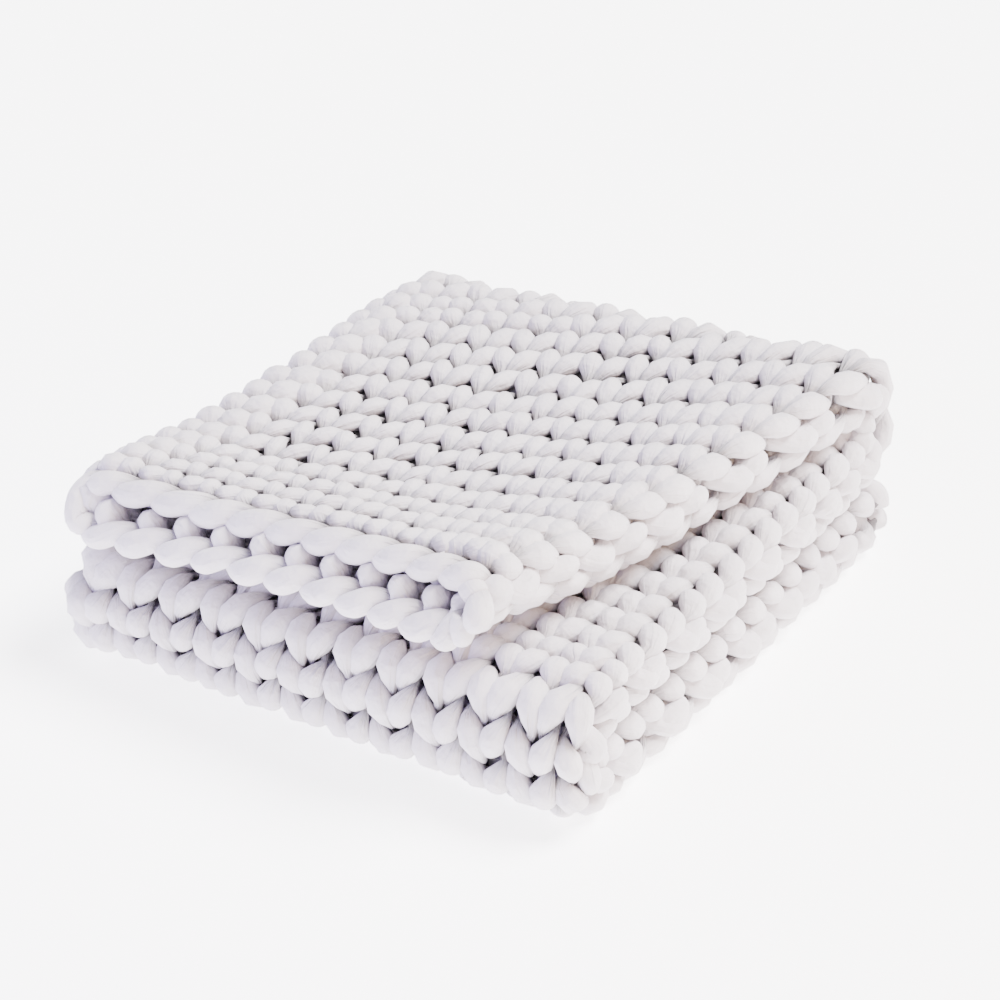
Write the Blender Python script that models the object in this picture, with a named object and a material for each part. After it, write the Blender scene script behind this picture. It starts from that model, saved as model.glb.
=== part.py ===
"""A chunky knitted weighted blanket, folded: one half-width fold, then back and forth in thirds.

Axes: +X across the pack, +Y from the open front to the back fold, +Z up. Metres.
The origin is on the surface that the pack rests on, in the middle of its footprint.
"""

import math

import bmesh
import bpy

# The pack
PACK_WIDTH = 0.610           # across, before it is drawn in
PACK_DEPTH = 0.655           # front fold to back fold
KNIT = 0.036                 # thickness of one layer of the knit
LAYER_OFFSET = 0.022         # layer centre to the middle of its pair
FOLD_RADIUS = 0.042          # middle of a pair round the front and back folds
FOLD_SQUARENESS = 2.7        # 2 is a round fold, more is a squarer one
FREE_END_SHORT = 0.045       # top free end in front of the front fold's centre
HIDDEN_END_SHORT = 0.030     # bottom free end short of the pack's back

# The side edges, which curl inwards
CURL_RADIUS = 0.021
CURL_ANGLE = math.radians(60.0)
EDGE_REACH = 0.037           # centre of the curl to the pack's side

# How unevenly the pack has settled: left side and right side
LOWER_HEIGHT = (0.723, 0.974)   # height scale of the two lower pairs
UPPER_HEIGHT = (0.875, 1.032)   # height scale of the top pair
UPPER_END_BACK = (0.022, 0.007)  # top layer's free end, moved back
LOWER_END_BACK = (-0.005, -0.022)  # second layer's free end, moved forward
UPPER_END_LIFT = (0.014, 0.016)  # top layer's free end, lifted
FREE_END_BLEND = 0.16        # length over which the free end moves
FRONT_RIGHT_TUCK = 0.109     # top pair's front right corner, drawn in
TUCK_BLEND = 0.62            # length over which it is drawn in
TUCK_EASE = 1.3              # 1 is a straight edge, more eases it into the back
BACK_LEFT_TUCK = 0.019       # back left corner, drawn in
BACK_LEFT_DROP = 0.085       # back left corner, lower by this share
TOP_DIP = 0.060              # middle of the pack, lower by this share
TOE_OUT = 0.004              # front left corner, out

# Facets
CURL_STEPS = 4
ACROSS_STEPS = 8
SIDE_FOLD_STEPS = 8
END_FOLD_STEPS = 12

HALF_WIDTH = PACK_WIDTH / 2
PAIR_HALF = LAYER_OFFSET + KNIT / 2
LEFT_CENTRE = PAIR_HALF - HALF_WIDTH
RIGHT_CENTRE = HALF_WIDTH - EDGE_REACH
BACK_CENTRE = PACK_DEPTH / 2 - FOLD_RADIUS - PAIR_HALF
FRONT_CENTRE = -BACK_CENTRE
LEVELS = [PAIR_HALF + 2 * FOLD_RADIUS * level for level in range(3)]
PAIR_TOP = 4 * FOLD_RADIUS - 0.003   # top of the two lower pairs

# Each run of the folded length, from the top free end to the hidden one
RUNS = [
    # (start y, end y, level, steps)
    (FRONT_CENTRE - FREE_END_SHORT, BACK_CENTRE, 2, 18),
    (BACK_CENTRE, FRONT_CENTRE, 1, 10),
    (FRONT_CENTRE, PACK_DEPTH / 2 - HIDDEN_END_SHORT, 0, 10),
]
FOLD_LENGTH = math.pi * FOLD_RADIUS
BACK_FOLD_START = RUNS[0][1] - RUNS[0][0]
FRONT_FOLD_START = BACK_FOLD_START + FOLD_LENGTH + RUNS[1][0] - RUNS[1][1]


def smooth(value, low=0.0, high=1.0):
    """0 below low, 1 above high, and a smooth step between."""
    t = min(max((value - low) / (high - low), 0.0), 1.0)
    return t * t * (3.0 - 2.0 * t)


def between(pair, share):
    return pair[0] + (pair[1] - pair[0]) * share


def section():
    """One pair of layers across the pack: (x, offset, tangent x, tangent offset) at the layer's centre."""
    points = []
    for step in range(CURL_STEPS + 1):
        a = CURL_ANGLE * (1 - step / CURL_STEPS)
        points.append((RIGHT_CENTRE + CURL_RADIUS * math.sin(a),
                       LAYER_OFFSET - CURL_RADIUS * (1 - math.cos(a)), -math.cos(a), math.sin(a)))
    for step in range(1, ACROSS_STEPS):
        x = RIGHT_CENTRE + (LEFT_CENTRE - RIGHT_CENTRE) * step / ACROSS_STEPS
        points.append((x, LAYER_OFFSET, -1.0, 0.0))
    for step in range(SIDE_FOLD_STEPS // 2 + 1):
        a = math.pi * step / SIDE_FOLD_STEPS
        points.append((LEFT_CENTRE - LAYER_OFFSET * math.sin(a), LAYER_OFFSET * math.cos(a),
                       -math.cos(a), -math.sin(a)))
    mirrored = [(x, -n, -tx, tn) for x, n, tx, tn in reversed(points[:-1])]
    return points + mirrored


def runs():
    """The folded length: (distance, y, z, tangent y, tangent z) along the middle of the pair."""
    stations = []
    distance = 0.0
    for index, (start, end, level, steps) in enumerate(RUNS):
        way = 1.0 if end > start else -1.0
        for step in range(steps + 1):
            y = start + (end - start) * step / steps
            stations.append((distance + abs(y - start), y, LEVELS[level], way, 0.0))
        distance += abs(end - start)
        if index == len(RUNS) - 1:
            break
        for step in range(1, END_FOLD_STEPS):
            a = math.pi * step / END_FOLD_STEPS
            y = end + way * FOLD_RADIUS * math.sin(a)
            z = LEVELS[level] - FOLD_RADIUS * (1 - math.cos(a))
            stations.append((distance + FOLD_RADIUS * a, y, z, way * math.cos(a), -math.sin(a)))
        distance += FOLD_LENGTH
    return stations


def square_off(y, z, centre_y, centre_z, way):
    """Push a point on a round fold out to a squarer one."""
    dy = (y - centre_y) * way
    dz = z - centre_z
    if dy <= 0.0:
        return y, z
    reach = math.hypot(dy, dz)
    power = FOLD_SQUARENESS
    squarer = ((dy / reach) ** power + (abs(dz) / reach) ** power) ** (1 / power)
    return centre_y + way * dy / squarer, centre_z + dz / squarer


def settle(x, y, z, distance, offset):
    """Move a point of the neat folds to where the soft pack has settled."""
    if BACK_FOLD_START < distance < BACK_FOLD_START + FOLD_LENGTH:
        y, z = square_off(y, z, BACK_CENTRE, LEVELS[2] - FOLD_RADIUS, 1.0)
    if FRONT_FOLD_START < distance < FRONT_FOLD_START + FOLD_LENGTH:
        y, z = square_off(y, z, FRONT_CENTRE, LEVELS[1] - FOLD_RADIUS, -1.0)
    across = (x + HALF_WIDTH) / PACK_WIDTH
    along = (y + PACK_DEPTH / 2) / PACK_DEPTH
    # the top pair's front right corner is drawn in
    tuck = (1 - min(distance / TUCK_BLEND, 1.0)) ** TUCK_EASE
    x -= FRONT_RIGHT_TUCK * tuck * smooth(across)
    # the two free ends part: one lifts, the other hangs over the front fold
    lower = 1 - smooth(offset, -LAYER_OFFSET, LAYER_OFFSET)
    end = 1 - smooth(distance, 0.0, FREE_END_BLEND)
    y += end * (between(UPPER_END_BACK, across) * (1 - lower) + between(LOWER_END_BACK, across) * lower)
    z += end * between(UPPER_END_LIFT, across) * (1 - lower)
    if distance < BACK_FOLD_START and y < FRONT_CENTRE:
        rise = z - (LEVELS[1] - FOLD_RADIUS)
        share = min((FRONT_CENTRE - y) / rise, 0.95)
        z -= rise * (1 - (1 - share ** FOLD_SQUARENESS) ** (1 / FOLD_SQUARENESS)) * lower
    # heights differ from side to side
    low = min(z, PAIR_TOP)
    z = low * between(LOWER_HEIGHT, across) + (z - low) * between(UPPER_HEIGHT, across)
    # the plan and the top are uneven
    x += BACK_LEFT_TUCK * (1 - across) * along - TOE_OUT * (1 - across) * (1 - along)
    x -= TOE_OUT * across * (1 - z / 0.24)
    dip = math.sin(math.pi * min(max(across, 0.0), 1.0)) * math.sin(math.pi * min(max(along, 0.0), 1.0))
    z *= (1 - BACK_LEFT_DROP * along * (1 - across)) * (1 - TOP_DIP * dip)
    return x, y, z


def knit_surface(mesh, station, outline, side):
    """One row of points on the outer (side 1) or inner (side -1) face of the layer."""
    distance, y0, z0, ty, tz = station
    row = []
    for x, n, tx, tn in outline:
        x_face = x + side * KNIT / 2 * tn
        n_face = n - side * KNIT / 2 * tx
        point = settle(x_face, y0 - tz * n_face, z0 + ty * n_face, distance, n_face)
        row.append(mesh.verts.new(point))
    return row


def knit_material():
    material = bpy.data.materials.new("cotton_jersey")
    material.use_nodes = True
    shader = material.node_tree.nodes["Principled BSDF"]
    shader.inputs["Base Color"].default_value = (0.83, 0.81, 0.83, 1.0)
    shader.inputs["Roughness"].default_value = 0.9
    shader.inputs["Metallic"].default_value = 0.0
    return material


def to_the_middle(mesh):
    """The move that puts the middle of the footprint on the origin."""
    xs = [vert.co.x for vert in mesh.verts]
    ys = [vert.co.y for vert in mesh.verts]
    return (-(min(xs) + max(xs)) / 2, -(min(ys) + max(ys)) / 2, 0.0)


def knit_blanket(collection):
    """The whole blanket: a loft of the paired layers along the folded length."""
    mesh = bmesh.new()
    outline = section()
    loops = []
    for station in runs():
        outer = knit_surface(mesh, station, outline, 1.0)
        inner = knit_surface(mesh, station, outline, -1.0)
        loops.append(outer + inner[::-1])
    size = len(loops[0])
    for near, far in zip(loops, loops[1:]):
        for i in range(size):
            j = (i + 1) % size
            mesh.faces.new((near[i], near[j], far[j], far[i]))
    # the two ends, closed layer by layer
    count = len(outline)
    for ring, turned in ((loops[0], True), (loops[-1], False)):
        for i in range(count - 1):
            face = [ring[i], ring[i + 1], ring[size - 2 - i], ring[size - 1 - i]]
            mesh.faces.new(face[::-1] if turned else face)
    bmesh.ops.translate(mesh, verts=mesh.verts[:], vec=to_the_middle(mesh))
    bmesh.ops.triangulate(mesh, faces=mesh.faces[:])
    bmesh.ops.recalc_face_normals(mesh, faces=mesh.faces[:])
    data = bpy.data.meshes.new("knit_blanket")
    mesh.to_mesh(data)
    mesh.free()
    data.shade_smooth()
    data.materials.append(knit_material())
    blanket = bpy.data.objects.new("knit_blanket", data)
    collection.objects.link(blanket)
    return blanket


def main():
    for old in list(bpy.data.objects):
        bpy.data.objects.remove(old)
    collection = bpy.data.collections.new("weighted_blanket")
    bpy.context.scene.collection.children.link(collection)
    knit_blanket(collection)


main()
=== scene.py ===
"""The looks of a folded, chunky knitted blanket: every stitch is a loop of stuffed tube yarn."""

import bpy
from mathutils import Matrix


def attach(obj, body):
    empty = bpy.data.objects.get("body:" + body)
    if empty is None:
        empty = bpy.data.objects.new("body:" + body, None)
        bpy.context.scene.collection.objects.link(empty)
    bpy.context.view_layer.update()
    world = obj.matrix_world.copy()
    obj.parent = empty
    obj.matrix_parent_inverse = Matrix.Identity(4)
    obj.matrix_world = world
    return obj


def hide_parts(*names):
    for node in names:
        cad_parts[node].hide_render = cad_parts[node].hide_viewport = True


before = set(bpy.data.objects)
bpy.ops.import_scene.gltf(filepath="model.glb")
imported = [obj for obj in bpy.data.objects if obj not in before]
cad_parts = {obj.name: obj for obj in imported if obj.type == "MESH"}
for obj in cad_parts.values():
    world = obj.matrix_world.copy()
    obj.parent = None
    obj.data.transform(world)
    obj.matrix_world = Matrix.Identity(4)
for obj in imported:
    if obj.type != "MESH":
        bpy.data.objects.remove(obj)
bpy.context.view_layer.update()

import math

import bpy
import numpy as np
from mathutils import Vector

NODE = "knit_blanket"

# ---- The folds, in the CAD model's own sizes (metres) ----
# pairs are values at the left and the right of the pack
PACK_WIDTH = 0.610
PACK_DEPTH = 0.655
KNIT = 0.036                 # thickness of one layer
LAYER_OFFSET = 0.022         # from the middle of a pair of layers to the middle of each
FOLD_RADIUS = 0.042
FOLD_SQUARENESS = 2.7
FREE_END_SHORT = 0.045       # the free end stops short of the front fold,
HIDDEN_END_SHORT = 0.030     # and the hidden end short of the back
CURL_RADIUS = 0.021          # the open side edges curl in
CURL_ANGLE = math.radians(60.0)
EDGE_REACH = 0.037           # from the end of the flat layers to the right of the pack
LOWER_HEIGHT = (0.723, 0.974)    # how much of the neat height is left after settling, up to the top pair
UPPER_HEIGHT = (0.875, 1.032)    # and in it
UPPER_END_BACK = (0.022, 0.007)  # the free end's upper layer is drawn back, its lower layer is pulled out
LOWER_END_BACK = (-0.005, -0.022)
UPPER_END_LIFT = (0.014, 0.016)  # both are lifted,
LOWER_END_LIFT = (0.017, 0.025)
LOWER_END_BOW = 0.012            # the lower one more in its middle
FREE_END_BLEND = 0.16
FRONT_RIGHT_TUCK = 0.109     # the top pair's front right corner is drawn in
TUCK_BLEND = 0.62
TUCK_EASE = 1.3
BACK_LEFT_TUCK = 0.019
BACK_LEFT_DROP = 0.085
TOP_DIP = 0.060
TOE_OUT = 0.004              # the front left spreads this far, and the right side's foot stands in as far,
TOE_HEIGHT = 0.24            # less and less up to this height
MOST_DROP = 0.95             # the end's lower layer follows the front fold no further round than this share

HALF_WIDTH = PACK_WIDTH / 2
PAIR_HALF = LAYER_OFFSET + KNIT / 2
LEFT_CENTRE = PAIR_HALF - HALF_WIDTH
RIGHT_CENTRE = HALF_WIDTH - EDGE_REACH
BACK_CENTRE = PACK_DEPTH / 2 - FOLD_RADIUS - PAIR_HALF
FRONT_CENTRE = -BACK_CENTRE
LEVELS = [PAIR_HALF + 2 * FOLD_RADIUS * level for level in range(3)]
PAIR_TOP = 4 * FOLD_RADIUS - 0.003   # just under the top pair
TOP_END = FRONT_CENTRE - FREE_END_SHORT
HIDDEN_END = PACK_DEPTH / 2 - HIDDEN_END_SHORT
FOLD_LENGTH = math.pi * FOLD_RADIUS

# distances along the folded length: top run, back fold, middle run, front fold, bottom run
LENGTHS = [BACK_CENTRE - TOP_END, FOLD_LENGTH, BACK_CENTRE - FRONT_CENTRE, FOLD_LENGTH,
           HIDDEN_END - FRONT_CENTRE]
ALONG = np.concatenate([[0.0], np.cumsum(LENGTHS)])
LENGTH = float(ALONG[-1])

# distances across a pair: curl, top layer, side fold, second layer, curl
WIDTHS = [CURL_RADIUS * CURL_ANGLE, RIGHT_CENTRE - LEFT_CENTRE, math.pi * LAYER_OFFSET,
          RIGHT_CENTRE - LEFT_CENTRE, CURL_RADIUS * CURL_ANGLE]
ACROSS = np.concatenate([[0.0], np.cumsum(WIDTHS)])
WIDTH = float(ACROSS[-1])

# ---- The stitches ----
SEED = 7
WALES = 24                   # stitches across the flat blanket
ROWS = 46                    # rows along it
GROUP = 11                   # rows in one piece
WALE = WIDTH / WALES
ROW = LENGTH / ROWS
SIDE_FOLD = WALES / 2        # the wale at the middle of the side fold
LOOP_RISE = 0.92             # half height of a loop, in rows
LOOP_SWING = 0.28            # how far a loop's sides lean, in wales
LOOP_STRAIGHT = 0.02         # takes the S out of the sides, in wales
LOOP_OPEN = 0.020            # sides of one loop stand this far apart from even spacing, in wales
LOOP_DEPTH = 0.0098          # a loop's sides stand out, its head and feet go in
LOOP_ROLL = -0.30            # the sides come out past their middle, in radians of the depth's wave
UNEVEN_ACROSS = 0.030        # how uneven loops are (a standard deviation): across, in wales,
UNEVEN_RISE = 0.055          # in height, as a share,
UNEVEN_ALONG = 0.048         # along, in rows,
UNEVEN_DEPTH = 0.0010        # in depth,
UNEVEN_FAT = 0.060           # and in the yarn's fatness, as a share

# ---- The yarn ----
YARN_WIDE = 0.0087           # half width in the plane of the knit
YARN_THICK = 0.0070          # half thickness through the knit
STEPS = 22                   # rings of the tube in one stitch
SIDES = 16                   # sides of the tube
LEAF = 0.16                  # sides of a loop are fatter than heads and feet by this share
NIP = 0.50                   # and the yarn is nipped thin where loops cross
NIP_TIP = 0.15               # thinner still at the tip of each V,
TIP_FADE = 0.7               # which starts at the sides and is full this share of the way on
NIP_REST = 0.6               # nips away from the tips get painted shade, and stronger creases, by this share
SIDE_FAT = 0.30              # the yarn is fatter round the side fold
SIDE_REACH = (0.6, 2.0)      # from its middle to here, in wales
TOP_SLIM = (0.13, 0.11)      # on top it is slimmer, and slimmer still where rows lie close:
SLIM_FADE = (0.10, 0.12)     # each fades out over this length,
SLIM_SIDE_FOLD = (0.5, 2.0)  # at the side fold,
SLIM_SELVAGE = (1.0, 4.0)    # and at the selvage, in wales
UP_STEP = 0.002              # the way out of the knit is measured over this distance each way
PRESS = 0.004                # yarn nearer the floor than this is flattened
PLAN_SHIFT = (0.0036, 0.0)   # puts the middle of the footprint on the origin, as in the CAD model

# ---- How wales and rows run ----
EVEN_AT = 0.012              # stitches are evenly spaced this far proud of the layer's centre
TABLE_ROWS = 100             # places along at which the even spacing is worked out,
TABLE_WALES = 8              # places in each wale,
TABLE_STEPS = 400            # and points that measure the way across
MOST_GAIN = 1.3              # wales at the side fold are at most this much wider than the average
BOW = 0.034                  # how far the wales bow to the right in the middle of the top
FRONT_LEAN = 0.024           # above the front face the wales lean to the right by this much,
LEAN_PAST, LEAN_FADE = 0.04, 0.07    # ending this far past the middle run, over this length
FAN_LEFT = -0.19             # rows on top lie closer together near the free end
FAN_RIGHT = 0.31             # and wider apart at the right by this share more,
FAN_REACH = (0.33, 0.50)     # each as far as this from the free end
FOLD_ROWS = 0.130            # rows lie closer this far each way from the middle of a fold's outside
FOLD_SLIP = 0.040            # by so much in all,
FOLD_FADE = 0.42             # and the runs beside the fold take it up over this length

# ---- Selvages, end edges and corner ----
EDGE_ROW = 0.014             # the end rows' bights stop about here, inside the end of the cloth
PILLOW_SHORT = 0.25          # past it they keep this share of their length
PILLOW_FAT = 0.75            # and they are fatter by this share
TURN_OUT = 0.36              # bights at the selvages stand out by this share of a wale,
TURN_PROUD = 0.012           # come up to the middle of the knit,
TURN_FAT = 0.18              # and are plump
ROPE_RADIUS = 0.0060         # from the rope's middle to the middle of each strand
ROPE_OUT = 0.009             # the rope's middle, beyond the end of the cloth
ROPE_FAT = 1.18              # strands are fatter than the yarn in the stitches
ROPE_LEAF = 0.28             # and fatter still where they show, thinner where they pass behind
ROPE_PAST = 0.1              # the rope goes past the selvages by this share of a wale
ROPE_STEPS = 24              # rings of a strand in one wale
ROPE_UNEVEN_TURN = 0.10      # how uneven the strands are: their turn, in radians,
ROPE_UNEVEN_FAT = 0.04       # and their fatness, as a share
CORNER_WALE = 0.25           # the corner stitch starts and ends this far inside the selvages, in wales
CORNER_STEPS = 24            # its rings
CORNER_OUT, CORNER_FRONT = 0.016, 0.010  # it stands out this far to the right and to the front
CORNER_THIN, CORNER_FAT = 0.8, 0.85      # fatness of its ends, and how much more its middle has
CORNER_UP = (0.6, -0.8, 0.0)

# ---- Looks of the yarn ----
COTTON_GREY, COTTON_PALE = (0.64, 0.595, 0.63, 1.0), (0.70, 0.655, 0.685, 1.0)
# painted shade, mixed into the yarn's colour at the nips and in the gaps
PAINTED_SHADE_COLOUR = (0.09, 0.08, 0.09, 1.0)
SHALLOW, DEEP = 0.0105, 0.0015   # yarn this far from the middle of the knit is clear of the gaps, or in them: painted shade in the gaps fades in between
NIP_SHADE_POWER, NIP_SHADE = 2.2, 0.85  # how narrow and how dark the painted shade at the nips is
GAP_SHADE = 0.9               # how dark the painted shade in the gaps is
GAP_SHADE_SELVAGE = (0.2, 1.0)    # painted gap shade is left off at the selvages and full from here, in wales,
GAP_SHADE_SIDE_FOLD = (0.8, 1.8)  # the same beside the side fold,
GAP_SHADE_END = (0.4, 1.0)        # and at the end edges, in rows
CREASE_SCALE = (14.0, 150.0, 1.0)    # creases run lengthwise: long along the yarn, short across it
RIB_SCALE = (500.0, 1100.0, 1.0)

# ---- Camera and light ----
AZIMUTH, ELEVATION = math.radians(32.67), math.radians(31.37)
DISTANCE = 3.36
TARGET = Vector((-0.007 + PLAN_SHIFT[0], 0.028, 0.10))
LENS = 36.0 * 3.267          # the sensor's width, by distance over the width of the view
FLOOR_REACH = 12.0
LIGHTS_AIM = Vector((0.0, 0.0, 0.1))


def smooth(value, low=0.0, high=1.0):
    """0 below low, 1 above high and eased between them."""
    t = np.clip((value - low) / (high - low), 0.0, 1.0)
    return t * t * (3.0 - 2.0 * t)


def between(pair, share):
    return pair[0] + (pair[1] - pair[0]) * share


def arch(share):
    """0 at both ends of 0 to 1, and 1 in the middle."""
    return np.sin(math.pi * np.clip(share, 0.0, 1.0))


# ---- From the flat blanket to the settled pack ----
def section(v):
    """Across a pair of layers at distance v: x, offset and their tangents, at the layer's centre."""
    # beyond the curled edges the cloth runs on straight
    past = np.where(v < ACROSS[0], ACROSS[0] - v, np.where(v > ACROSS[5], v - ACROSS[5], 0.0))
    inside = np.clip(v, ACROSS[0], ACROSS[5])
    a = CURL_ANGLE - inside / CURL_RADIUS
    b = (inside - ACROSS[4]) / CURL_RADIUS
    c = (inside - ACROSS[2]) / LAYER_OFFSET
    where = [inside < ACROSS[1], inside < ACROSS[2], inside < ACROSS[3], inside < ACROSS[4],
             inside >= ACROSS[4]]
    x = np.select(where, [RIGHT_CENTRE + CURL_RADIUS * np.sin(a),
                          RIGHT_CENTRE - (inside - ACROSS[1]),
                          LEFT_CENTRE - LAYER_OFFSET * np.sin(c),
                          LEFT_CENTRE + (inside - ACROSS[3]),
                          RIGHT_CENTRE + CURL_RADIUS * np.sin(b)])
    n = np.select(where, [LAYER_OFFSET - CURL_RADIUS * (1 - np.cos(a)),
                          LAYER_OFFSET,
                          LAYER_OFFSET * np.cos(c),
                          -LAYER_OFFSET,
                          -LAYER_OFFSET + CURL_RADIUS * (1 - np.cos(b))])
    tx = np.select(where, [-np.cos(a), -1.0, -np.cos(c), 1.0, np.cos(b)])
    tn = np.select(where, [np.sin(a), 0.0, -np.sin(c), 0.0, np.sin(b)])
    way = np.where(v > ACROSS[5], 1.0, -1.0)
    return x + tx * past * way, n + tn * past * way, tx, tn


def runs(s):
    """Along the folded length at distance s: y, z and their tangents, at the middle of the pair."""
    past = np.where(s < 0, s, np.where(s > LENGTH, s - LENGTH, 0.0))
    s = np.clip(s, 0.0, LENGTH)
    back = (s - ALONG[1]) / FOLD_RADIUS
    front = (s - ALONG[3]) / FOLD_RADIUS
    where = [s < ALONG[1], s < ALONG[2], s < ALONG[3], s < ALONG[4], s >= ALONG[4]]
    y = np.select(where, [TOP_END + s,
                          BACK_CENTRE + FOLD_RADIUS * np.sin(back),
                          BACK_CENTRE - (s - ALONG[2]),
                          FRONT_CENTRE - FOLD_RADIUS * np.sin(front),
                          FRONT_CENTRE + (s - ALONG[4])])
    z = np.select(where, [LEVELS[2],
                          LEVELS[2] - FOLD_RADIUS * (1 - np.cos(back)),
                          LEVELS[1],
                          LEVELS[1] - FOLD_RADIUS * (1 - np.cos(front)),
                          LEVELS[0]])
    ty = np.select(where, [1.0, np.cos(back), -1.0, -np.cos(front), 1.0])
    tz = np.select(where, [0.0, -np.sin(back), 0.0, -np.sin(front), 0.0])
    return y + ty * past, z + tz * past, ty, tz


def square_off(y, z, centre_y, centre_z, way):
    """Squarer folds than half circles; way is 1 for the back fold and -1 for the front one."""
    dy = (y - centre_y) * way
    dz = z - centre_z
    reach = np.hypot(dy, dz) + 1e-9
    power = FOLD_SQUARENESS
    out = np.maximum(dy, 0.0) / reach
    # behind the fold's centre nothing moves
    squarer = np.where(dy > 0, (out ** power + (np.abs(dz) / reach) ** power) ** (1 / power), 1.0)
    return centre_y + way * dy / squarer, centre_z + dz / squarer


def settle(x, y, z, s, offset):
    """Where a point of the neat folds lies in the settled pack."""
    at_back = (s > ALONG[1]) & (s < ALONG[2])
    at_front = (s > ALONG[3]) & (s < ALONG[4])
    y_back, z_back = square_off(y, z, BACK_CENTRE, LEVELS[2] - FOLD_RADIUS, 1.0)
    y_front, z_front = square_off(y, z, FRONT_CENTRE, LEVELS[1] - FOLD_RADIUS, -1.0)
    y, z = (np.where(at_back, back, np.where(at_front, front, plain))
            for back, front, plain in ((y_back, y_front, y), (z_back, z_front, z)))
    across = (x + HALF_WIDTH) / PACK_WIDTH
    along = (y + PACK_DEPTH / 2) / PACK_DEPTH
    tuck = (1 - np.clip(s / TUCK_BLEND, 0.0, 1.0)) ** TUCK_EASE
    x = x - FRONT_RIGHT_TUCK * tuck * smooth(across)
    # the free end: its two layers part, and the lower one bends over the front fold
    lower = 1 - smooth(offset, -LAYER_OFFSET, LAYER_OFFSET)
    end = 1 - smooth(s, 0.0, FREE_END_BLEND)
    y = y + end * (between(UPPER_END_BACK, across) * (1 - lower) + between(LOWER_END_BACK, across) * lower)
    z = z + end * between(UPPER_END_LIFT, across) * (1 - lower)
    z = z + end * (between(LOWER_END_LIFT, across) + LOWER_END_BOW * arch(across)) * lower
    rise = np.maximum(z - (LEVELS[1] - FOLD_RADIUS), 1e-3)
    share = np.clip((FRONT_CENTRE - y) / rise, 0.0, MOST_DROP)
    drop = rise * (1 - (1 - share ** FOLD_SQUARENESS) ** (1 / FOLD_SQUARENESS)) * lower
    z = np.where(s < ALONG[1], z - drop, z)
    # the whole pack: lower at the left and back left, and dipped in the middle
    low = np.minimum(z, PAIR_TOP)
    z = low * between(LOWER_HEIGHT, across) + (z - low) * between(UPPER_HEIGHT, across)
    x = x + BACK_LEFT_TUCK * (1 - across) * along - TOE_OUT * (1 - across) * (1 - along)
    x = x - TOE_OUT * across * (1 - z / TOE_HEIGHT)
    z = z * (1 - BACK_LEFT_DROP * along * (1 - across)) * (1 - TOP_DIP * (arch(across) * arch(along)))
    return x, y, z


def place(v, s, h):
    """The point v across and s along the flat blanket, h proud of the layer's centre on the knit side."""
    x, n, tx, tn = section(v)
    y0, z0, ty, tz = runs(s)
    x = x + h * tn
    n = n - h * tx
    x, y, z = settle(x, y0 - tz * n, z0 + ty * n, s, n)
    return np.stack([x + PLAN_SHIFT[0], y + PLAN_SHIFT[1], z], -1)


def wale_table():
    """A grid of distances along and of wales, with the distance across that spaces stitches evenly."""
    s_grid = np.linspace(-ROW, LENGTH + ROW, TABLE_ROWS)
    k_grid = np.linspace(0.0, WALES, TABLE_WALES * WALES + 1)
    v = np.linspace(0.0, WIDTH, TABLE_STEPS)
    q = np.abs(1 - 2 * k_grid / WALES)
    table = np.zeros((len(s_grid), len(k_grid)))
    for row, s in enumerate(s_grid):
        line = place(v, np.full_like(v, s), np.full_like(v, EVEN_AT))
        arc = np.concatenate([[0.0], np.cumsum(np.linalg.norm(np.diff(line, axis=0), axis=1))])
        fold = np.interp(WIDTH / 2, v, arc)
        half = np.where(k_grid < SIDE_FOLD, fold, arc[-1] - fold)
        gain = np.clip(SIDE_FOLD * WALE / half, 1.0, MOST_GAIN) - 1.0
        reach = half * ((1 + gain) * q - gain * q ** 3)
        bow = BOW * arch(s / ALONG[1]) * (1 - q * q)
        lean = FRONT_LEAN * smooth(ALONG[3] + LEAN_PAST - s, 0.0, LEAN_FADE) * (1 - q * q)
        lean = lean * (k_grid > SIDE_FOLD)
        table[row] = np.interp(fold - np.sign(SIDE_FOLD - k_grid) * reach - bow + lean, arc, v)
    return s_grid, k_grid, table


TABLE = wale_table()


def across_at(k, s):
    """Distance across for wale position k (0 to WALES) at distance s along."""
    s_grid, k_grid, table = TABLE
    inside = np.clip(k, 0.0, WALES)
    # the limits keep the next cell of the grid inside it
    a = np.clip((s - s_grid[0]) / (s_grid[1] - s_grid[0]), 0, len(s_grid) - 1.001)
    b = np.clip((inside - k_grid[0]) / (k_grid[1] - k_grid[0]), 0, len(k_grid) - 1.001)
    i, j = a.astype(int), b.astype(int)
    fa, fb = a - i, b - j
    low = table[i, j] * (1 - fb) + table[i, j + 1] * fb
    high = table[i + 1, j] * (1 - fb) + table[i + 1, j + 1] * fb
    return low * (1 - fa) + high * fa + (k - inside) * WALE


def fan(k, s):
    """How far along the rows slip: on top they spread like a fan, and the hidden run takes it up."""
    right = np.abs(2 * k / WALES - 1)
    near, far = (np.clip(s, 0.0, reach) for reach in FAN_REACH)
    hidden = np.clip((ALONG[3] - s) / (ALONG[3] - ALONG[2]), 0.0, 1.0)
    slip = (FAN_LEFT * near + FAN_RIGHT * right * far) * hidden
    # round the outside of a fold there is room for more rows than round its middle:
    # the upper layer is outside at the back fold, and the lower layer at the front fold
    for middle, outside in (((ALONG[1] + ALONG[2]) / 2, 1 - smooth(k, SIDE_FOLD - 2, SIDE_FOLD + 1)),
                            ((ALONG[3] + ALONG[4]) / 2, smooth(k, SIDE_FOLD - 1, SIDE_FOLD + 2))):
        away = s - middle
        fading = 1 - smooth(np.abs(away), FOLD_ROWS, FOLD_ROWS + FOLD_FADE)
        slip = slip - FOLD_SLIP * np.clip(away / FOLD_ROWS, -1.0, 1.0) * fading * outside
    return slip


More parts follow.
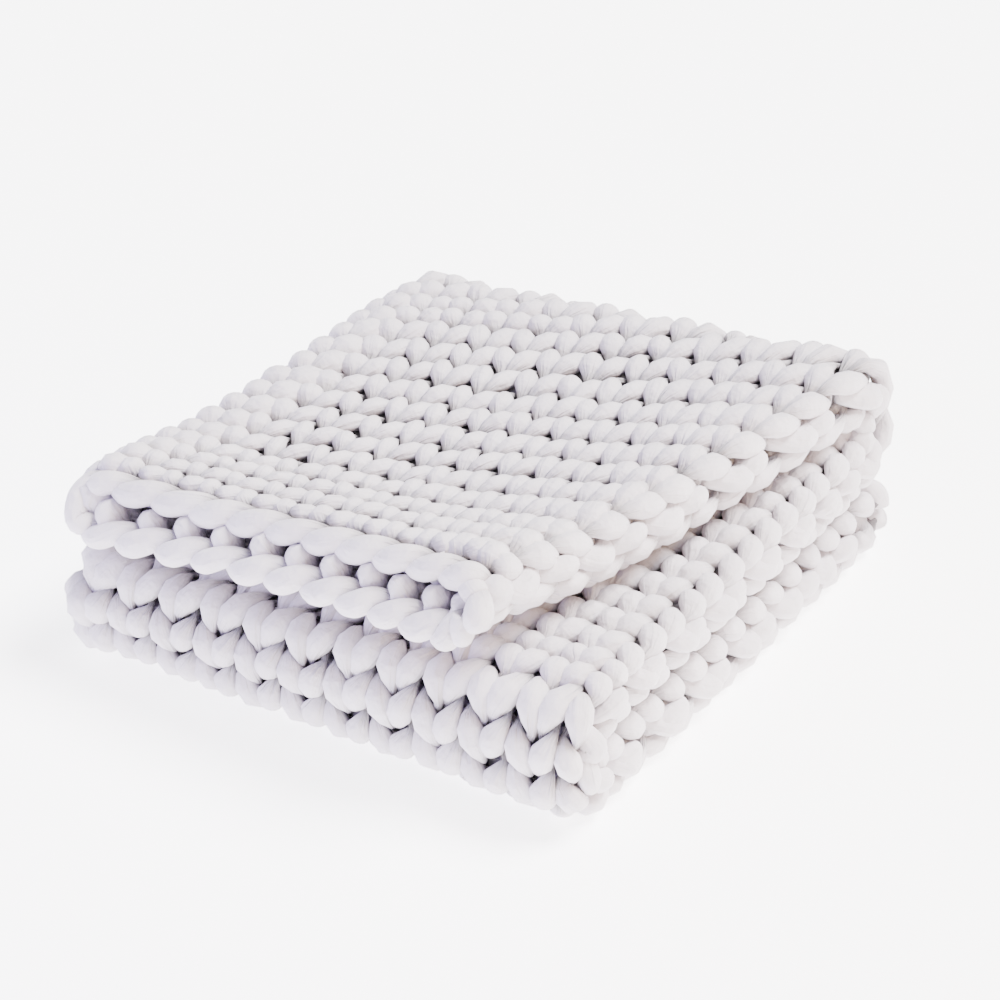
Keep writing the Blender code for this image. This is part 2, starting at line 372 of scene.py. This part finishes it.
# ---- Centrelines of the yarn: k (wales across), s (metres along), h (proud), fatness and pinch ----
def wobble(random, knots, phase, size):
    """Smooth seeded unevenness along a yarn: one value at each knot, eased between them."""
    values = random.normal(0.0, size, knots + 2)
    at = np.clip(phase, 0.0, knots)
    i = at.astype(int)
    return values[i] + (values[i + 1] - values[i]) * smooth(at - i)


def course(row, random):
    """One row of stitches, from the upper layer's selvage round the side fold to the lower layer's."""
    phi = np.linspace(0.0, 2 * math.pi * WALES, WALES * STEPS + 1)

    def uneven(size):
        return wobble(random, 2 * WALES, phi / math.pi, size)

    sway = LOOP_SWING * np.sin(2 * phi) - LOOP_STRAIGHT * np.sin(6 * phi) - LOOP_OPEN * np.sin(phi)
    k = phi / (2 * math.pi) + sway + uneven(UNEVEN_ACROSS)
    rise = LOOP_RISE * (1 + uneven(UNEVEN_RISE))
    s = (row + 0.5 - rise * np.cos(phi) + uneven(UNEVEN_ALONG)) * ROW
    h = -LOOP_DEPTH * np.cos(2 * phi - LOOP_ROLL) + uneven(UNEVEN_DEPTH)
    pinch = (1 - np.cos(4 * phi)) / 2
    tip = smooth(np.cos(phi), 0.0, TIP_FADE)
    leaf = 1 - LEAF * np.cos(2 * phi) + NIP * np.cos(4 * phi) - NIP_TIP * pinch * tip
    # pinch also paints shade at the nips, full at the tips of the Vs and less elsewhere
    pinch = pinch * (NIP_REST + (1 - NIP_REST) * tip)
    fat = leaf * (1 + uneven(UNEVEN_FAT))
    fat = fat * (1 + SIDE_FAT * (1 - smooth(np.abs(k - SIDE_FOLD), *SIDE_REACH)))
    slim = TOP_SLIM[0] + TOP_SLIM[1] * smooth(FAN_REACH[0] - s, 0.0, SLIM_FADE[1])
    slim = slim * smooth(ALONG[1] - s, 0.0, SLIM_FADE[0])
    fat = fat * (1 - slim * smooth(SIDE_FOLD - k, *SLIM_SIDE_FOLD) * smooth(k, *SLIM_SELVAGE))
    # at the two end edges the last bights are short, plump pillows behind the rope
    for end, toward, at_end in ((0.0, 1.0, row == 0), (LENGTH, -1.0, row == ROWS - 1)):
        if at_end:
            inside = (s - end) * toward
            short = EDGE_ROW + (inside - EDGE_ROW) * PILLOW_SHORT
            s = end + toward * np.where(inside < EDGE_ROW, short, inside)
            fat = fat * (1 + PILLOW_FAT * smooth(np.cos(phi) * toward))
    s = s + fan(k, s)
    return np.stack([k, s, h, fat, pinch], -1)


def turn(end, start, way):
    """The bight at a selvage from one row's end to the next row's start."""
    t = np.linspace(0.0, 1.0, STEPS // 2 + 2)[1:-1, None]
    path = end + (start - end) * t
    bulge = np.sin(math.pi * t[:, 0])
    path[:, 0] += way * TURN_OUT * bulge
    path[:, 2] += TURN_PROUD * bulge
    path[:, 3] *= 1 + TURN_FAT * bulge
    return path


# ---- Meshes ----
def yarn(path, name, material, sunk=True):
    """A piece of yarn along a centreline; sunk yarn is thinner through the knit and gets painted shade where
    it lies low in the gaps.
    """
    k, s, h, fat, pinch = path.T
    v = across_at(k, s)
    up = place(v, s, h + UP_STEP) - place(v, s, h - UP_STEP)
    if not sunk:
        return tube(place(v, s, h), up, fat, pinch, name, material, h, 0.0 * h, YARN_WIDE)
    # the painted gap shade is left off at the selvages, beside the side fold and at the end edges
    sides = smooth(np.minimum(k, WALES - k), *GAP_SHADE_SELVAGE) * smooth(np.abs(k - SIDE_FOLD), *GAP_SHADE_SIDE_FOLD)
    gap_shade_reach = sides * smooth(np.minimum(s, LENGTH - s) / ROW, *GAP_SHADE_END)
    return tube(place(v, s, h), up, fat, pinch, name, material, h, gap_shade_reach, YARN_THICK)


def tube(centre, up, fat, pinch, name, material, level, gap_shade_reach, thick):
    """A closed tube round a centreline, with what its material needs on its points."""
    tangent = np.gradient(centre, axis=0)
    tangent /= np.linalg.norm(tangent, axis=1, keepdims=True) + 1e-12
    side = np.cross(tangent, up)
    side /= np.linalg.norm(side, axis=1, keepdims=True) + 1e-12
    proud = np.cross(side, tangent)
    angle = np.linspace(0.0, 2 * math.pi, SIDES, endpoint=False)
    ring = (side[:, None, :] * (np.cos(angle) * YARN_WIDE)[None, :, None] +
            proud[:, None, :] * (np.sin(angle) * thick)[None, :, None]) * fat[:, None, None]
    points = (centre[:, None, :] + ring).reshape(-1, 3)
    # the lowest loops are pressed flat on what the pack rests on
    pressed = PRESS * np.exp((points[:, 2] - PRESS) / PRESS)
    points[:, 2] = np.where(points[:, 2] < PRESS, pressed, points[:, 2])
    # quads between neighbouring rings, then the two end caps
    rings = len(centre)
    first = np.arange(rings - 1)[:, None] * SIDES
    here = np.arange(SIDES)[None, :]
    beside = (here + 1) % SIDES
    quads = np.stack([first + here, first + beside, first + SIDES + beside, first + SIDES + here], -1)
    caps = np.concatenate([np.arange(SIDES)[::-1], (rings - 1) * SIDES + np.arange(SIDES)])
    loops = np.concatenate([quads.ravel(), caps])
    starts = np.append(np.arange(quads.size // 4 + 1) * 4, quads.size + SIDES)
    mesh = bpy.data.meshes.new(name)
    mesh.vertices.add(len(points))
    mesh.vertices.foreach_set("co", points.astype(np.float32).ravel())
    mesh.loops.add(len(loops))
    mesh.loops.foreach_set("vertex_index", loops.astype(np.int32))
    mesh.polygons.add(len(starts))
    mesh.polygons.foreach_set("loop_start", starts.astype(np.int32))
    mesh.update(calc_edges=True)
    # u runs along the yarn and v round it, both in metres
    travelled = np.concatenate([[0.0], np.cumsum(np.linalg.norm(np.diff(centre, axis=0), axis=1))])
    around = np.arange(SIDES + 1) * (2 * math.pi * YARN_WIDE / SIDES)
    u0, u1 = (np.repeat(part[:, None], SIDES, axis=1) for part in (travelled[:-1], travelled[1:]))
    v0, v1 = (np.repeat(part[None, :], rings - 1, axis=0) for part in (around[:-1], around[1:]))
    corners = [np.stack(corner, -1) for corner in ((u0, v0), (u0, v1), (u1, v1), (u1, v0))]
    uv = np.zeros((len(loops), 2), np.float32)
    uv[:quads.size] = np.stack(corners, 2).reshape(-1, 2)
    mesh.uv_layers.new(name="yarn").data.foreach_set("uv", uv.ravel())
    # painted shade on yarn close to the middle of the knit, down in the gaps between stitches
    proud_by = np.abs(level[:, None] + thick * fat[:, None] * np.sin(angle)[None, :])
    painted_gap_shade = (1 - smooth(proud_by, DEEP, SHALLOW)) * gap_shade_reach[:, None]
    for key, values in (("pinch", np.repeat(pinch, SIDES)), ("painted_gap_shade", painted_gap_shade.ravel())):
        mesh.attributes.new(key, "FLOAT", "POINT").data.foreach_set("value", values.astype(np.float32))
    mesh.validate()
    mesh.shade_smooth()
    mesh.materials.append(material)
    piece = bpy.data.objects.new(name, mesh)
    bpy.context.scene.collection.objects.link(piece)
    return piece


def declare(piece):
    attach(piece, "root")
    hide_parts(NODE)


# ---- Material ----
def jersey():
    """Undyed cotton jersey: lumps of stuffing, lengthwise creases, fine ribs, and painted shade at the nips
    and in the gaps.
    """
    material = bpy.data.materials.new("cotton_jersey")
    material.use_nodes = True
    nodes, link = material.node_tree.nodes, material.node_tree.links.new
    shader = nodes["Principled BSDF"]
    shader.inputs["Roughness"].default_value = 0.85
    shader.inputs["Sheen Weight"].default_value = 0.25
    shader.inputs["Sheen Roughness"].default_value = 0.4
    shader.inputs["Specular IOR Level"].default_value = 0.25

    def node(kind, **settings):
        made = nodes.new(kind)
        for key, value in settings.items():
            if key in made.inputs:
                made.inputs[key].default_value = value
            else:
                setattr(made, key, value)
        return made

    def times(source, factor, operation="MULTIPLY"):
        made = node("ShaderNodeMath", operation=operation)
        link(source, made.inputs[0])
        made.inputs[1].default_value = factor
        return made.outputs[0]

    def bump(height, strength, distance, below=None):
        made = node("ShaderNodeBump", Strength=strength, Distance=distance)
        link(height, made.inputs["Height"])
        if below is not None:
            link(below, made.inputs["Normal"])
        return made.outputs[0]

    uv = node("ShaderNodeUVMap", uv_map="yarn")
    pinch = node("ShaderNodeAttribute", attribute_name="pinch")
    painted_gap_shade = node("ShaderNodeAttribute", attribute_name="painted_gap_shade")
    place_of = node("ShaderNodeTexCoord")
    # creases are stronger where the yarn is nipped
    stretch = node("ShaderNodeMapping", Scale=CREASE_SCALE)
    link(uv.outputs[0], stretch.inputs[0])
    crease = node("ShaderNodeTexNoise", Scale=1.0, Detail=3.0, Roughness=0.55, Distortion=0.6)
    link(stretch.outputs[0], crease.inputs["Vector"])
    strength = node("ShaderNodeMapRange", **{"From Min": 0.1, "To Min": 0.25, "To Max": 1.0})
    link(pinch.outputs["Fac"], strength.inputs["Value"])
    crease_height = node("ShaderNodeMath", operation="MULTIPLY")
    link(crease.outputs[0], crease_height.inputs[0])
    link(strength.outputs[0], crease_height.inputs[1])
    # soft lumps of stuffing
    lumps = node("ShaderNodeTexNoise", Scale=75.0, Detail=2.0, Roughness=0.5)
    link(place_of.outputs["Object"], lumps.inputs["Vector"])
    # fine ribs of the jersey
    ribs = node("ShaderNodeMapping", Scale=RIB_SCALE)
    link(uv.outputs[0], ribs.inputs[0])
    weave = node("ShaderNodeTexNoise", Scale=1.0, Detail=1.0)
    link(ribs.outputs[0], weave.inputs["Vector"])
    surface = bump(lumps.outputs[0], 0.8, 0.004)
    surface = bump(crease_height.outputs[0], 1.0, 0.010, surface)
    surface = bump(weave.outputs[0], 0.25, 0.0004, surface)
    link(surface, shader.inputs["Normal"])
    # slight variation of the undyed cotton
    tone = node("ShaderNodeTexNoise", Scale=9.0, Detail=2.0)
    link(place_of.outputs["Object"], tone.inputs["Vector"])
    ramp = node("ShaderNodeValToRGB")
    for element, position, colour in zip(ramp.color_ramp.elements, (0.3, 0.7), (COTTON_GREY, COTTON_PALE)):
        element.position = position
        element.color = colour
    link(tone.outputs[0], ramp.inputs[0])
    # painted shade where the yarn is nipped between its neighbours, and down in the gaps between stitches
    painted_shade = node("ShaderNodeMath", operation="MAXIMUM")
    link(times(times(pinch.outputs["Fac"], NIP_SHADE_POWER, "POWER"), NIP_SHADE), painted_shade.inputs[0])
    link(times(painted_gap_shade.outputs["Fac"], GAP_SHADE), painted_shade.inputs[1])
    shade = node("ShaderNodeMix", data_type="RGBA")
    link(painted_shade.outputs[0], shade.inputs["Factor"])
    link(ramp.outputs[0], shade.inputs["A"])
    shade.inputs["B"].default_value = PAINTED_SHADE_COLOUR
    link(shade.outputs["Result"], shader.inputs["Base Color"])
    return material


# ---- The pieces ----
def knit(cotton, random):
    """One yarn back and forth over all the rows, cut into pieces of GROUP rows."""
    rows = []
    for row in range(ROWS):
        path = course(row, random)
        rows.append(path if row % 2 == 0 else path[::-1])
    for first in range(0, ROWS, GROUP):
        last = min(first + GROUP, ROWS)
        parts = []
        for row in range(first, last):
            parts.append(rows[row])
            if row + 1 < ROWS:
                parts.append(turn(rows[row][-1], rows[row + 1][0], 1.0 if row % 2 == 0 else -1.0))
        if last < ROWS:
            parts.append(rows[last][:1])
        declare(yarn(np.concatenate(parts), f"rows_{first + 1}_to_{last}", cotton))


def edge_rope(cotton, random, name, s, way):
    """Two strands round each other along one end of the cloth, from selvage to selvage."""
    for strand in range(2):
        k = np.linspace(-ROPE_PAST, WALES + ROPE_PAST, WALES * ROPE_STEPS)
        angle = math.pi * (k + strand) + wobble(random, 2 * WALES, 2 * k, ROPE_UNEVEN_TURN)
        h = way * ROPE_RADIUS * np.sin(angle)
        s_out = s + way * (ROPE_OUT + ROPE_RADIUS * np.cos(angle))
        fat = ROPE_FAT * (1 + ROPE_LEAF * np.cos(angle) + wobble(random, WALES, k, ROPE_UNEVEN_FAT))
        # the last column paints shade where a strand passes behind the other, and strengthens the creases
        # there
        path = np.stack([k, s_out, h, fat, (0.5 - 0.5 * np.cos(angle)) ** 2], -1)
        declare(yarn(path, f"{name}_{strand + 1}", cotton, sunk=False))


def corner_stitch(cotton):
    """At the open front corner one fat bight wraps from the upper rope's end to the lower rope's."""
    ends = [place(across_at(np.array([k]), np.array([0.0])), np.array([-ROPE_OUT]), np.array([0.0]))[0]
            for k in (CORNER_WALE, WALES - CORNER_WALE)]
    t = np.linspace(0.0, 1.0, CORNER_STEPS)
    path = ends[0] + (ends[1] - ends[0]) * t[:, None]
    out = np.sin(math.pi * t)
    path[:, 0] += CORNER_OUT * out
    path[:, 1] -= CORNER_FRONT * out
    fat = CORNER_THIN + CORNER_FAT * out
    up = np.array(CORNER_UP) + 0 * path
    # its ends, where it meets the ropes, get painted shade and stronger creases
    declare(tube(path, up, fat, 1 - out, "corner_stitch", cotton, 0 * t, 0 * t, YARN_WIDE))


# ---- Camera, floor and light ----
def camera():
    data = bpy.data.cameras.new("camera")
    data.lens = LENS
    obj = bpy.data.objects.new("camera", data)
    bpy.context.scene.collection.objects.link(obj)
    look = Vector((-math.sin(AZIMUTH) * math.cos(ELEVATION), math.cos(AZIMUTH) * math.cos(ELEVATION),
                   -math.sin(ELEVATION)))
    obj.location = TARGET - look * DISTANCE
    obj.rotation_euler = look.to_track_quat("-Z", "Y").to_euler()
    bpy.context.scene.camera = obj


def floor():
    mesh = bpy.data.meshes.new("floor")
    reach = FLOOR_REACH
    mesh.from_pydata([(-reach, -reach, 0), (reach, -reach, 0), (reach, reach, 0), (-reach, reach, 0)], [],
                     [(0, 1, 2, 3)])
    material = bpy.data.materials.new("floor")
    material.use_nodes = True
    shader = material.node_tree.nodes["Principled BSDF"]
    shader.inputs["Base Color"].default_value = (0.94, 0.94, 0.94, 1.0)
    shader.inputs["Roughness"].default_value = 0.9
    shader.inputs["Emission Color"].default_value = (1.0, 1.0, 1.0, 1.0)
    shader.inputs["Emission Strength"].default_value = 3.5
    mesh.materials.append(material)
    obj = bpy.data.objects.new("floor", mesh)
    bpy.context.scene.collection.objects.link(obj)


def light(name, kind, toward, energy, colour, at=(0.0, 0.0, 0.0), **settings):
    data = bpy.data.lights.new(name, kind)
    for key, value in settings.items():
        setattr(data, key, value)
    data.energy = energy
    data.color = colour
    obj = bpy.data.objects.new(name, data)
    obj.location = at
    obj.rotation_euler = toward.to_track_quat("-Z", "Y").to_euler()
    bpy.context.scene.collection.objects.link(obj)


def soft_fill(name, at, size, energy, colour):
    light(name, "AREA", LIGHTS_AIM - Vector(at), energy, colour, at, shape="DISK", size=size)


def studio_world():
    world = bpy.data.worlds.new("studio")
    world.use_nodes = True
    background = world.node_tree.nodes["Background"]
    background.inputs["Color"].default_value = (0.96, 0.96, 1.0, 1.0)
    background.inputs["Strength"].default_value = 0.7
    bpy.context.scene.world = world


cotton_jersey = jersey()
seeded = np.random.default_rng(SEED)
knit(cotton_jersey, seeded)
edge_rope(cotton_jersey, seeded, "cast_on_edge", 0.0, -1.0)
edge_rope(cotton_jersey, seeded, "cast_off_edge", LENGTH, 1.0)
corner_stitch(cotton_jersey)
camera()
floor()
light("key", "SUN", Vector((-0.45, -0.40, -1.0)), 12.6, (1.0, 0.985, 0.985), angle=math.radians(30.0))
soft_fill("front_fill", at=(-1.3, -2.6, 0.8), size=2.0, energy=118.0, colour=(0.56, 0.49, 1.0))
soft_fill("side_fill", at=(2.6, -0.6, 1.2), size=1.6, energy=62.0, colour=(1.0, 0.68, 0.42))
studio_world()
